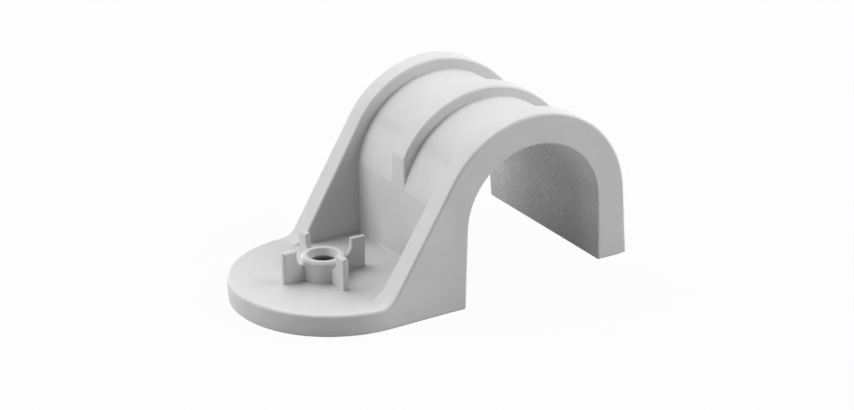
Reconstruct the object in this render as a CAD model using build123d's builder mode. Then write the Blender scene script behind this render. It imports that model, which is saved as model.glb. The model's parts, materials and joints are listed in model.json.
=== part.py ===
from build123d import *
import os
from math import acos, cos, degrees, radians, sin, sqrt, tan

# One-piece moulded clip that holds a pipe against a wall with a single screw.
# An arch passes over the pipe. One leg grows out of a screw tab, the other leg ends free.
# Three ribs run round the arch, and the two end ribs run on down to the tab as gussets.
# The origin is on the screw hole's axis at the mounting face, +X points to the pipe,
# +Y runs along the pipe and +Z points away from the wall. Millimetres and degrees.

# Pipe channel
pipe_radius = 14.0
pipe_axis_height = 15.8
hole_to_pipe = 33.65

# Arch and legs
barrel_wall = 3.8
fixed_leg_thinning = 0.22
fixed_leg_draft = 0.7
free_leg_inner_draft = 2.7
free_leg_outer_draft = 4.8
free_leg_gap = 3.5
free_leg_bevel = 6.0

# Width along the pipe at the mounting face, and the lean of the side faces
clip_width = 37.9
side_draft = 2.1

# Ribs, with their widths at the crown
end_rib_rise = 2.25
end_rib_width = 4.6
end_rib_draft = 1.8
middle_rib_rise = 2.0
middle_rib_width = 4.7
middle_rib_draft = 0.2
gusset_angle = 31.3
gusset_foot_radius = 4.0

# Screw tab
tab_thickness = 4.35
tab_bulge = 0.62
tab_centre_to_hole = 1.98
side_blend_radius = 20.0

# Screw boss and its four fins
boss_radius = 4.3
boss_height = 4.15
boss_rim_chamfer = 0.45
hole_radius = 2.2
countersink_radius = 3.05
countersink_angle = 59.0
fin_count = 4
fin_reach = 8.65
fin_height = 6.15
fin_thickness = 1.2
fin_post_length = 2.95
fin_web_height = 2.85
fin_web_curve = 1.85
fin_inner_corner_radius = 1.4
fin_outer_corner_radius = 0.5
fin_edge_chamfer = 0.25

# Edge and corner radii, and the smaller edges' chamfers
edge_radius = 0.5
rib_edge_chamfer = 0.28
bore_edge_chamfer = 0.3
wall_foot_radius = 0.35

# Room that the cutting tools take beyond the clip
spare = 5.0

# Slack for picking out an edge by its place
tiny = 0.01

# Cosines for sorting faces by where they look: straight at something, or roughly towards it
straight_at = 0.9
towards = 0.5

# Worked out from the sizes above
tab_radius = clip_width / 2 + tab_bulge
barrel_radius = pipe_radius + barrel_wall
rib_radius = barrel_radius + end_rib_rise
middle_rib_radius = barrel_radius + middle_rib_rise
crown_height = pipe_axis_height + rib_radius
wall_x = hole_to_pipe - barrel_radius + fixed_leg_thinning
crease_height = pipe_axis_height + sqrt(barrel_radius**2 - (hole_to_pipe - wall_x) ** 2)
crown_half_width = clip_width / 2 + crown_height * tan(radians(side_draft))
valley_floor = tab_thickness - 2 * rib_edge_chamfer
leg_middle_x = (wall_x + hole_to_pipe - pipe_radius) / 2
far_x = hole_to_pipe + rib_radius + 2 * spare
near_x = tab_centre_to_hole - tab_radius - 2 * spare
pipe_centre = (hole_to_pipe, pipe_axis_height)


def on_circle(radius, angle):
    """Point of a circle round the pipe's axis, in the side view."""
    x = hole_to_pipe + radius * cos(radians(angle))
    return (x, pipe_axis_height + radius * sin(radians(angle)))


def leg_foot(radius, draft, height, side=1):
    """Where a leg's face, tangent to a circle round the pipe, comes down to a height."""
    x, z = on_circle(radius, draft)
    reach = x - hole_to_pipe + (z - height) * tan(radians(draft))
    return (hole_to_pipe + side * reach, height)


def side_outline():
    """Side view of the clip with its end ribs: tab, gusset slope, arch and free leg."""
    slope_top = on_circle(rib_radius, 180 - gusset_angle)
    slope_foot_x = slope_top[0] - (slope_top[1] - tab_thickness) * tan(radians(gusset_angle))
    fixed_foot = leg_foot(pipe_radius, fixed_leg_draft, 0, -1)
    bevel_start = leg_foot(barrel_radius, free_leg_outer_draft, free_leg_gap)
    outer_foot_x = leg_foot(rib_radius, free_leg_outer_draft, free_leg_gap)[0]
    bevel_rise = (outer_foot_x - bevel_start[0]) * tan(radians(free_leg_bevel))
    with BuildSketch(Plane.XZ) as outline:
        with BuildLine():
            Line(fixed_foot, on_circle(pipe_radius, 180 - fixed_leg_draft))
            CenterArc(
                pipe_centre,
                pipe_radius,
                free_leg_inner_draft,
                180 - fixed_leg_draft - free_leg_inner_draft,
            )
            Polyline(
                on_circle(pipe_radius, free_leg_inner_draft),
                leg_foot(pipe_radius, free_leg_inner_draft, free_leg_gap),
                bevel_start,
                leg_foot(rib_radius, free_leg_outer_draft, free_leg_gap + bevel_rise),
                on_circle(rib_radius, free_leg_outer_draft),
            )
            CenterArc(
                pipe_centre,
                rib_radius,
                free_leg_outer_draft,
                180 - gusset_angle - free_leg_outer_draft,
            )
            Polyline(
                slope_top,
                (slope_foot_x, tab_thickness),
                (near_x, tab_thickness),
                (near_x, 0),
                fixed_foot,
            )
        make_face()
        foot = outline.vertices().sort_by_distance((slope_foot_x, tab_thickness))[0]
        fillet(foot, gusset_foot_radius)
    return outline.sketch


def arch_outline(radius):
    """Side view of all that lies within a radius round the pipe, as far as the wall and the free leg."""
    wall_angle = degrees(acos((wall_x - hole_to_pipe) / radius))
    with BuildSketch(Plane.XZ) as outline:
        with BuildLine():
            CenterArc(
                pipe_centre,
                radius,
                free_leg_outer_draft,
                wall_angle - free_leg_outer_draft,
            )
            Polyline(
                on_circle(radius, wall_angle),
                (wall_x, -spare),
                leg_foot(radius, free_leg_outer_draft, -spare),
                on_circle(radius, free_leg_outer_draft),
            )
        make_face()
    return outline.sketch


def plan_outline():
    """Plan view: a round tab end whose sides run on, tangent, to the width of the arch."""
    with BuildSketch() as outline:
        with Locations((tab_centre_to_hole, 0)):
            Circle(tab_radius)
        Rectangle(wall_x, clip_width, align=(Align.MIN, Align.CENTER))
        make_hull()
        Rectangle(far_x, clip_width, align=(Align.MIN, Align.CENTER))
        bends = outline.vertices().filter_by_position(Axis.X, wall_x, wall_x)
        fillet(bends, side_blend_radius)
    return outline.sketch


def drafted_bar(crown_half, draft, start_x):
    """A bar along X whose half width holds at the crown and changes with depth."""
    top = crown_height + spare
    top_half = crown_half + spare * tan(radians(draft))
    foot_half = crown_half - crown_height * tan(radians(draft))
    with BuildPart() as bar:
        with BuildSketch(Plane.YZ.offset(start_x)):
            Polygon(
                (-foot_half, 0),
                (foot_half, 0),
                (top_half, top),
                (-top_half, top),
                align=None,
            )
        extrude(amount=far_x - start_x)
    return bar.part


def faces_up(face):
    """Whether a face looks away from the wall, if only by a leg's draft."""
    return face.normal_at(face.position_at(0.5, 0.5)).Z > sin(radians(free_leg_outer_draft / 2))


def faces_down(face):
    """Whether a face looks at the wall: the mounting face and the end of the free leg."""
    return face.normal_at(face.position_at(0.5, 0.5)).Z < -straight_at


def leans_out(face):
    """Whether a face is one of the outer sides, which lean out as they leave the wall."""
    upward = face.normal_at(face.position_at(0.5, 0.5)).Z
    return -towards < upward < -sin(radians(side_draft / 2)) and not faces_the_pipe(face)


def faces_the_pipe(face):
    """Whether a face looks at the pipe's axis: the bore and the inner faces of both legs."""
    point = face.position_at(0.5, 0.5)
    toward = Vector(hole_to_pipe - point.X, 0, pipe_axis_height - point.Z).normalized()
    return face.normal_at(point).dot(toward) > towards


def on_valley_rim(edge):
    """Whether an edge is a corner that stands out between the two end ribs."""
    return abs(edge.position_at(0.5).Y) < crown_half_width - rib_edge_chamfer and not edge.is_interior


def fin_outline():
    """Side view of one fin: a post at the end of a low web that starts inside the boss."""
    inner_x = (boss_radius + hole_radius) / 2
    post_x = fin_reach - fin_post_length
    web_top = tab_thickness + fin_web_height
    fin_top = tab_thickness + fin_height
    with BuildSketch(Plane.XZ) as outline:
        with BuildLine():
            Polyline(
                (inner_x, web_top),
                (inner_x, tab_thickness),
                (fin_reach, tab_thickness),
                (fin_reach, fin_top),
                (post_x, fin_top),
                (post_x, web_top),
                (inner_x, web_top),
            )
        make_face()
        corners = outline.vertices()
        fillet(corners.sort_by_distance((post_x, web_top))[0], fin_web_curve)
        fillet(corners.sort_by_distance((post_x, fin_top))[0], fin_inner_corner_radius)
        fillet(corners.sort_by_distance((fin_reach, fin_top))[0], fin_outer_corner_radius)
    return outline.sketch


# The middle rib, with the arch below it: it follows its own circle round the pipe to the wall
with BuildPart() as middle_rib:
    add(drafted_bar(middle_rib_width / 2, -middle_rib_draft, wall_x))
    extrude(arch_outline(middle_rib_radius), amount=crown_half_width, both=True, mode=Mode.INTERSECT)

# What is cut away between the two end ribs: all but the middle rib, the barrel and the tab
with BuildPart() as valley:
    add(drafted_bar(crown_half_width - end_rib_width, end_rib_draft, near_x))
    add(middle_rib.part, mode=Mode.SUBTRACT)
    extrude(arch_outline(barrel_radius), amount=crown_half_width, both=True, mode=Mode.SUBTRACT)
    with Locations((near_x, 0, 0)):
        Box(
            leg_middle_x - near_x,
            2 * crown_half_width,
            valley_floor,
            align=(Align.MIN, Align.CENTER, Align.MIN),
            mode=Mode.SUBTRACT,
        )

# One fin, its edges broken but for those on the tab and inside the boss
with BuildPart() as fin:
    extrude(fin_outline(), amount=fin_thickness / 2, both=True)
    fin_edges = fin.edges().filter_by(Axis.Y, reverse=True)
    fin_edges = fin_edges.filter_by_position(Axis.Z, tab_thickness + tiny, crown_height)
    fin_edges = fin_edges.filter_by_position(Axis.X, boss_radius, fin_reach)
    chamfer(fin_edges, fin_edge_chamfer)

# Screw boss with a fin on each side
with BuildPart() as boss:
    with Locations((0, 0, tab_thickness)):
        Cylinder(boss_radius, boss_height, align=(Align.CENTER, Align.CENTER, Align.MIN))
    chamfer(boss.edges().group_by(Axis.Z)[-1], boss_rim_chamfer)
    with PolarLocations(0, fin_count):
        add(fin.part)

# The clip still too wide: the side view along the pipe, less the valley, the ribs' edges broken
with BuildPart() as clip_body:
    extrude(side_outline(), amount=crown_half_width + spare, both=True)
    add(valley.part, mode=Mode.SUBTRACT)
    top_faces = clip_body.faces().filter_by(faces_up)
    rib_edges = top_faces.edges().filter_by(Axis.Y, reverse=True).filter_by(on_valley_rim)
    wall_edges = clip_body.edges().filter_by_position(Axis.X, wall_x - tiny, wall_x + tiny)
    nose_edges = wall_edges.filter_by_position(Axis.Z, crease_height + tiny, crown_height)
    chamfer(rib_edges + nose_edges, rib_edge_chamfer)

    # The tab's plate, which the gussets' broken edges run out into
    with Locations((near_x, 0, 0)):
        Box(
            leg_middle_x - near_x,
            2 * crown_half_width,
            tab_thickness,
            align=(Align.MIN, Align.CENTER, Align.MIN),
        )
    cross_edges = clip_body.edges().filter_by(Axis.Y)
    foot_edges = cross_edges.filter_by_position(Axis.X, wall_x - tiny, wall_x + tiny)
    foot_edges = foot_edges.filter_by_position(Axis.Z, tab_thickness - tiny, tab_thickness + tiny)
    fillet(foot_edges, wall_foot_radius)

    # Trimmed to the plan view, its sides leaning out by their draft, its outer edges rounded
    extrude(plan_outline(), amount=crown_height + spare, taper=-side_draft, mode=Mode.INTERSECT)
    side_edges = clip_body.faces().filter_by(leans_out).edges()
    lower_edges = side_edges & clip_body.faces().filter_by(faces_down).edges()
    bore_edges = side_edges & clip_body.faces().filter_by(faces_the_pipe).edges()
    cross_edges = clip_body.edges().filter_by(Axis.Y)
    leg_ends = cross_edges.filter_by_position(Axis.Z, free_leg_gap - tiny, free_leg_gap + tiny)
    inner_corners = cross_edges.group_by(Axis.Z)[0] + leg_ends.sort_by(Axis.X)[:1]
    outer_corners = cross_edges.group_by(Axis.X)[-1]
    chamfer(lower_edges + bore_edges + inner_corners + outer_corners, bore_edge_chamfer)
    side_edges = clip_body.faces().filter_by(leans_out).edges()
    outer_edges = side_edges & clip_body.faces().filter_by(faces_up).edges()
    fillet(outer_edges, edge_radius)

    # Boss, fins and the countersunk screw hole
    add(boss.part)
    with Locations((0, 0, tab_thickness + boss_height)):
        CounterSinkHole(hole_radius, countersink_radius, counter_sink_angle=countersink_angle)

clip_body.part.label = "clip_body"

os.makedirs("parts", exist_ok=True)
export_step(clip_body.part, "parts/clip_body.step")
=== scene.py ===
import json
import math

import bpy
from mathutils import Matrix, Vector

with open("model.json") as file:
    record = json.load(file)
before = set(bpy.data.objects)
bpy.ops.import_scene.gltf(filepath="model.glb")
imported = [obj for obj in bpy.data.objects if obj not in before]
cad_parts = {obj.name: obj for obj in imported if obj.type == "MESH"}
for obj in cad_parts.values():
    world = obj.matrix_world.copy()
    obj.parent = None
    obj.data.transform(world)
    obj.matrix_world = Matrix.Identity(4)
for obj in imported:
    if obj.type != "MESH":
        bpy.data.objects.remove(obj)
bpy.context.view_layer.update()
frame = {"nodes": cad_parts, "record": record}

MM = 0.001

# The pipe's channel and the straight part of the screw hole, as the record gives them
MOUNTS = {mount["name"]: mount for mount in frame["record"]["mounts"]}
SADDLE = MOUNTS["pipe_saddle"]
HOLE = MOUNTS["screw_hole"]
PIPE_X = SADDLE["pos_m"][0]
PIPE_Z = SADDLE["pos_m"][2]
PIPE_RADIUS = SADDLE["dims"]["r_mm"] * MM
HOLE_RADIUS = HOLE["dims"]["r_mm"] * MM
HOLE_LENGTH = HOLE["dims"]["length_mm"] * MM

# The barrel's thickness round the channel, and the drafts of the legs' inner faces
BARREL_THICKNESS = 3.8 * MM
FIXED_LEG_DRAFT = math.tan(math.radians(0.7))
FREE_LEG_DRAFT = math.tan(math.radians(2.7))

# The dull surface inside the arch: how far past the channel it ends, and over how much it fades
INSIDE_MARGIN = 0.05 * MM
INSIDE_FADE = 0.15 * MM

# Painted shade: the inside of the arch darkens from the upper of these heights down to the lower
# one
DARKEST_HEIGHT = 3.0 * MM
LIGHTEST_HEIGHT = 15.0 * MM
LOW_DARKNESS = 0.25

# A faint darker line across the barrel: its direction from the pipe's axis, half width and
# darkness, and how far off the barrel's surface it is still full and where it is gone
MARK_ANGLE = math.radians(140.5)
MARK_HALF_WIDTH = math.radians(6.5)
MARK_DARKNESS = 0.06
MARK_FULL = 0.2 * MM
MARK_GONE = 0.4 * MM

# The shade painted into the screw hole's colour: how far it reaches past the hole's side and above
# its neck, over how much it fades at each, and how dark it is
SHADE_MARGIN = 0.1 * MM
SHADE_MARGIN_FADE = 0.1 * MM
SHADE_RISE = 0.4 * MM
SHADE_RISE_FADE = 0.3 * MM
SHADE_DARKNESS = 0.72

# How fine the patterns of the plastic are, in features per metre
CLOUDS = 120.0
SPECKS = 2600.0
MOTTLE = 1700.0
WAVES = 160.0
GRAIN = 1500.0
BORE_GRAIN = 2200.0

# The middle of a noise, which is stretched over a whole pattern, and its peaks, which make specks
NOISE_LOW = 0.3
NOISE_HIGH = 0.7
SPECK_LOW = 0.66
SPECK_HIGH = 0.74

# Shades of grey, from 0 for black to 1 for white, and how strongly a speck shows
CLOUD_DARK = 0.60
CLOUD_LIGHT = 0.625
SPECK_SHADE = 0.51
SPECK_STRENGTH = 0.10
MOTTLE_DARK = 0.53
MOTTLE_LIGHT = 0.73

# Gloss: the outside's least and most roughness, what the bore adds to it, and the reflections
SATIN_LOW = 0.40
SATIN_HIGH = 0.48
BORE_ROUGHNESS = 0.14
REFRACTIVE_INDEX = 1.48
REFLECTION_LEVEL = 0.3

# Heights of the relief, and the radius with which edges are shaded
GRAIN_HEIGHT = 0.010 * MM
WAVE_HEIGHT = 0.05 * MM
BORE_GRAIN_HEIGHT = 0.045 * MM
EDGE_RADIUS = 0.35 * MM

# Camera: what it looks at, its direction and roll in degrees, its distance in metres,
# and its lens and sensor in millimetres
TARGET = Vector((22.357, 0.078, 13.517)) * MM
AZIMUTH = -30.49
ELEVATION = 22.20
ROLL = -0.34
DISTANCE = 537.1 * MM
LENS = 120.39
SENSOR = 36.0

# Studio, in metres, with the floor's own shade and the share of it that shows as white
PANEL_DISTANCE = 1.2
PANEL_SIZE = 0.8
FLOOR_HALF = 4.0
FLOOR_SHADE = 0.45
FLOOR_WHITENESS = 0.96


def grey(shade):
    return (shade, shade, shade, 1.0)


def direction(azimuth, elevation):
    """The unit vector towards a place round the clip, from angles in degrees."""
    turned = math.radians(azimuth)
    raised = math.radians(elevation)
    level = math.cos(raised)
    return Vector((math.sin(turned) * level, -math.cos(turned) * level, math.sin(raised)))


class Nodes:
    """The node tree of a material or a world, with short ways to add the nodes used here."""

    def __init__(self, owner, output):
        owner.use_nodes = True
        self.tree = owner.node_tree
        self.tree.nodes.clear()
        self.output = self.add(output)

    def add(self, kind, **settings):
        made = self.tree.nodes.new(kind)
        for key, value in settings.items():
            setattr(made, key, value)
        return made

    def link(self, source, target):
        self.tree.links.new(source, target)

    def feed(self, socket, value):
        """Links a socket to another one, or sets it to a constant."""
        if isinstance(value, bpy.types.NodeSocket):
            self.link(value, socket)
        else:
            socket.default_value = value

    def calculate(self, operation, a, b=0.0):
        made = self.add("ShaderNodeMath", operation=operation)
        self.feed(made.inputs[0], a)
        self.feed(made.inputs[1], b)
        return made.outputs[0]

    def plus(self, a, b):
        return self.calculate("ADD", a, b)

    def minus(self, a, b):
        return self.calculate("SUBTRACT", a, b)

    def times(self, a, b):
        return self.calculate("MULTIPLY", a, b)

    def larger(self, a, b):
        return self.calculate("MAXIMUM", a, b)

    def magnitude(self, a):
        return self.calculate("ABSOLUTE", a)

    def length(self, a, b):
        return self.calculate("SQRT", self.plus(self.times(a, a), self.times(b, b)))

    def noise(self, place, scale, detail, roughness, distortion=0.0):
        made = self.add("ShaderNodeTexNoise")
        self.link(place, made.inputs["Vector"])
        made.inputs["Scale"].default_value = scale
        made.inputs["Detail"].default_value = detail
        made.inputs["Roughness"].default_value = roughness
        made.inputs["Distortion"].default_value = distortion
        return made.outputs["Fac"]

    def between(self, value, low, high, to_low, to_high):
        """value from low..high eased over to to_low..to_high, held at the ends."""
        made = self.add("ShaderNodeMapRange", clamp=True, interpolation_type="SMOOTHSTEP")
        self.feed(made.inputs["Value"], value)
        made.inputs["From Min"].default_value = low
        made.inputs["From Max"].default_value = high
        made.inputs["To Min"].default_value = to_low
        made.inputs["To Max"].default_value = to_high
        return made.outputs["Result"]

    def rise(self, value, low, high):
        return self.between(value, low, high, 0.0, 1.0)

    def fall(self, value, low, high):
        return self.between(value, low, high, 1.0, 0.0)

    def mix_colour(self, share, a, b):
        made = self.add("ShaderNodeMix", data_type="RGBA")
        self.feed(made.inputs["Factor"], share)
        self.feed(made.inputs[6], a)
        self.feed(made.inputs[7], b)
        return made.outputs[2]

    def darken(self, colour, share):
        return self.mix_colour(share, colour, grey(0.0))

    def background_ray(self):
        """1 for the rays that see a white background: camera, glossy and transmission rays."""
        ray = self.add("ShaderNodeLightPath")
        seen = self.larger(ray.outputs["Is Camera Ray"], ray.outputs["Is Glossy Ray"])
        return self.larger(seen, ray.outputs["Is Transmission Ray"])


def pipe_reach(nodes, across, above):
    """Distance from the pipe's axis, or below its height from the upright plane through it."""
    return nodes.length(across, nodes.larger(above, 0.0))


def arch_inside(nodes, across, above, reach):
    """1 on the bore and the legs' inner faces, 0 on everything outside them."""
    below = nodes.larger(nodes.times(above, -1.0), 0.0)
    # The draft changes from one leg's to the other's in the middle of the channel
    draft = nodes.between(across, -MM, MM, FIXED_LEG_DRAFT, FREE_LEG_DRAFT)
    past = nodes.minus(reach, nodes.times(below, draft))
    edge = PIPE_RADIUS + INSIDE_MARGIN
    return nodes.fall(past, edge, edge + INSIDE_FADE)


def barrel_line(nodes, across, above, reach):
    """1 along the middle of the faint darker line across the barrel, 0 off it and on the ribs."""
    turn = nodes.minus(nodes.calculate("ARCTAN2", above, across), MARK_ANGLE)
    near_middle = nodes.fall(nodes.magnitude(turn), 0.0, MARK_HALF_WIDTH)
    off_barrel = nodes.magnitude(nodes.minus(reach, PIPE_RADIUS + BARREL_THICKNESS))
    return nodes.times(near_middle, nodes.fall(off_barrel, MARK_FULL, MARK_GONE))


def painted_hole_shade(nodes, x, y, z):
    """Where shade is painted: 1 in the straight part of the screw hole, 0 outside it and above its
    neck.
    """
    edge = HOLE_RADIUS + SHADE_MARGIN
    top = HOLE_LENGTH + SHADE_RISE
    near_axis = nodes.fall(nodes.length(x, y), edge, edge + SHADE_MARGIN_FADE)
    return nodes.times(near_axis, nodes.fall(z, top - SHADE_RISE_FADE, top))


def outer_tone(nodes, place, cloud):
    """Broad clouds from the flow of the plastic and small specks, both hardly seen."""
    share = nodes.rise(cloud, NOISE_LOW, NOISE_HIGH)
    tone = nodes.mix_colour(share, grey(CLOUD_DARK), grey(CLOUD_LIGHT))
    speck = nodes.noise(place, SPECKS, detail=2.0, roughness=0.6)
    seen = nodes.between(speck, SPECK_LOW, SPECK_HIGH, 0.0, SPECK_STRENGTH)
    return nodes.mix_colour(seen, tone, grey(SPECK_SHADE))


def bore_tone(nodes, place, inside, z):
    """The mottled tone inside the arch, with painted shade that makes it darker towards the wall.
    """
    mottle = nodes.noise(place, MOTTLE, detail=4.0, roughness=0.65)
    share = nodes.rise(mottle, NOISE_LOW, NOISE_HIGH)
    tone = nodes.mix_colour(share, grey(MOTTLE_DARK), grey(MOTTLE_LIGHT))
    # Painted shade, darker low inside the arch
    low = nodes.times(inside, nodes.fall(z, DARKEST_HEIGHT, LIGHTEST_HEIGHT))
    return nodes.darken(tone, nodes.times(low, LOW_DARKNESS))


def relief(nodes, place, inside):
    """The normal with slow waves, a mould grain that is deeper in the bore, and rounded edges."""
    grain = nodes.noise(place, GRAIN, detail=3.0, roughness=0.6)
    waves = nodes.noise(place, WAVES, detail=1.0, roughness=0.4)
    coarse = nodes.noise(place, BORE_GRAIN, detail=3.0, roughness=0.6)
    height = nodes.plus(nodes.times(grain, GRAIN_HEIGHT), nodes.times(waves, WAVE_HEIGHT))
    height = nodes.plus(height, nodes.times(nodes.times(coarse, inside), BORE_GRAIN_HEIGHT))
    rounded = nodes.add("ShaderNodeBevel", samples=8)
    rounded.inputs["Radius"].default_value = EDGE_RADIUS
    bump = nodes.add("ShaderNodeBump")
    bump.inputs["Strength"].default_value = 1.0
    bump.inputs["Distance"].default_value = 1.0
    nodes.link(height, bump.inputs["Height"])
    nodes.link(rounded.outputs["Normal"], bump.inputs["Normal"])
    return bump.outputs["Normal"]


def moulded_plastic():
    """Light grey moulded plastic: satin outside, duller and with a deeper grain inside the arch."""
    material = bpy.data.materials.new("moulded_grey_plastic")
    nodes = Nodes(material, "ShaderNodeOutputMaterial")
    place = nodes.add("ShaderNodeTexCoord").outputs["Object"]
    split = nodes.add("ShaderNodeSeparateXYZ")
    nodes.link(place, split.inputs[0])
    x, y, z = split.outputs

    across = nodes.minus(x, PIPE_X)
    above = nodes.minus(z, PIPE_Z)
    reach = pipe_reach(nodes, across, above)
    inside = arch_inside(nodes, across, above, reach)
    cloud = nodes.noise(place, CLOUDS, detail=3.0, roughness=0.55, distortion=0.6)

    # A faint darker line across the barrel's colour
    mark = nodes.times(barrel_line(nodes, across, above, reach), MARK_DARKNESS)
    outside = nodes.darken(outer_tone(nodes, place, cloud), mark)
    colour = nodes.mix_colour(inside, outside, bore_tone(nodes, place, inside, z))
    # Painted shade darkens the colour in the straight part of the screw hole
    colour = nodes.darken(colour, nodes.times(painted_hole_shade(nodes, x, y, z), SHADE_DARKNESS))
    satin = nodes.between(cloud, NOISE_LOW, NOISE_HIGH, SATIN_LOW, SATIN_HIGH)
    roughness = nodes.plus(satin, nodes.times(inside, BORE_ROUGHNESS))

    plastic = nodes.add("ShaderNodeBsdfPrincipled")
    plastic.inputs["IOR"].default_value = REFRACTIVE_INDEX
    plastic.inputs["Specular IOR Level"].default_value = REFLECTION_LEVEL
    nodes.link(colour, plastic.inputs["Base Color"])
    nodes.link(roughness, plastic.inputs["Roughness"])
    nodes.link(relief(nodes, place, inside), plastic.inputs["Normal"])
    nodes.link(plastic.outputs[0], nodes.output.inputs["Surface"])
    return material


def white_floor():
    """A pale matt floor that shows nearly white and keeps a faint shadow."""
    material = bpy.data.materials.new("white_floor")
    nodes = Nodes(material, "ShaderNodeOutputMaterial")
    matt = nodes.add("ShaderNodeBsdfDiffuse")
    matt.inputs["Color"].default_value = grey(FLOOR_SHADE)
    white = nodes.add("ShaderNodeEmission")
    white.inputs["Strength"].default_value = 1.0
    mix = nodes.add("ShaderNodeMixShader")
    nodes.link(nodes.times(nodes.background_ray(), FLOOR_WHITENESS), mix.inputs[0])
    nodes.link(matt.outputs[0], mix.inputs[1])
    nodes.link(white.outputs[0], mix.inputs[2])
    nodes.link(mix.outputs[0], nodes.output.inputs["Surface"])
    return material


def make_floor():
    mesh = bpy.data.meshes.new("floor")
    sides = [(-1.0, -1.0), (1.0, -1.0), (1.0, 1.0), (-1.0, 1.0)]
    corners = [(x * FLOOR_HALF, y * FLOOR_HALF, 0.0) for x, y in sides]
    mesh.from_pydata(corners, [], [(0, 1, 2, 3)])
    floor = bpy.data.objects.new("floor", mesh)
    mesh.materials.append(white_floor())
    bpy.context.scene.collection.objects.link(floor)


def make_backdrop():
    """A world that is white to camera, glossy and transmission rays and black to all others."""
    world = bpy.data.worlds.new("studio")
    bpy.context.scene.world = world
    nodes = Nodes(world, "ShaderNodeOutputWorld")
    backdrop = nodes.add("ShaderNodeBackground")
    backdrop.inputs["Color"].default_value = grey(1.0)
    nodes.link(nodes.background_ray(), backdrop.inputs["Strength"])
    nodes.link(backdrop.outputs[0], nodes.output.inputs["Surface"])


def soft_light(name, azimuth, elevation, watts):
    """A square studio panel that faces the clip, from angles in degrees."""
    lamp = bpy.data.lights.new(name, "AREA")
    lamp.shape = "SQUARE"
    lamp.size = PANEL_SIZE
    lamp.energy = watts
    panel = bpy.data.objects.new(name, lamp)
    toward = direction(azimuth, elevation)
    panel.location = TARGET + toward * PANEL_DISTANCE
    panel.rotation_euler = toward.to_track_quat("Z", "Y").to_euler()
    bpy.context.scene.collection.objects.link(panel)


def make_camera():
    turned = math.radians(AZIMUTH)
    rolled = math.radians(ROLL)
    back = direction(AZIMUTH, ELEVATION)
    level_right = Vector((math.cos(turned), math.sin(turned), 0.0))
    level_up = back.cross(level_right)
    right = level_right * math.cos(rolled) + level_up * math.sin(rolled)
    up = level_up * math.cos(rolled) - level_right * math.sin(rolled)
    data = bpy.data.cameras.new("camera")
    data.sensor_width = SENSOR
    data.lens = LENS
    data.clip_start = 0.01
    data.clip_end = 20.0
    camera = bpy.data.objects.new("camera", data)
    axes = Matrix((right, up, back)).transposed().to_4x4()
    camera.matrix_world = Matrix.Translation(TARGET + back * DISTANCE) @ axes
    bpy.context.scene.collection.objects.link(camera)
    bpy.context.scene.camera = camera


clip = frame["nodes"]["clip_body"]
clip.data.materials.clear()
clip.data.materials.append(moulded_plastic())

make_floor()
make_backdrop()
soft_light("low_left", -90.0, 10.0, 3.8)
soft_light("low_back_left", -120.0, 10.0, 5.65)
soft_light("low_back", 180.0, 10.0, 5.1)
soft_light("low_front_right", 30.0, 10.0, 2.25)
soft_light("front_right", 60.0, 35.0, 11.6)
soft_light("right", 90.0, 35.0, 3.4)
soft_light("high_back_left", -135.0, 60.0, 5.2)
soft_light("high_back", 180.0, 60.0, 4.9)
make_camera()

bpy.context.scene.view_settings.view_transform = "Standard"
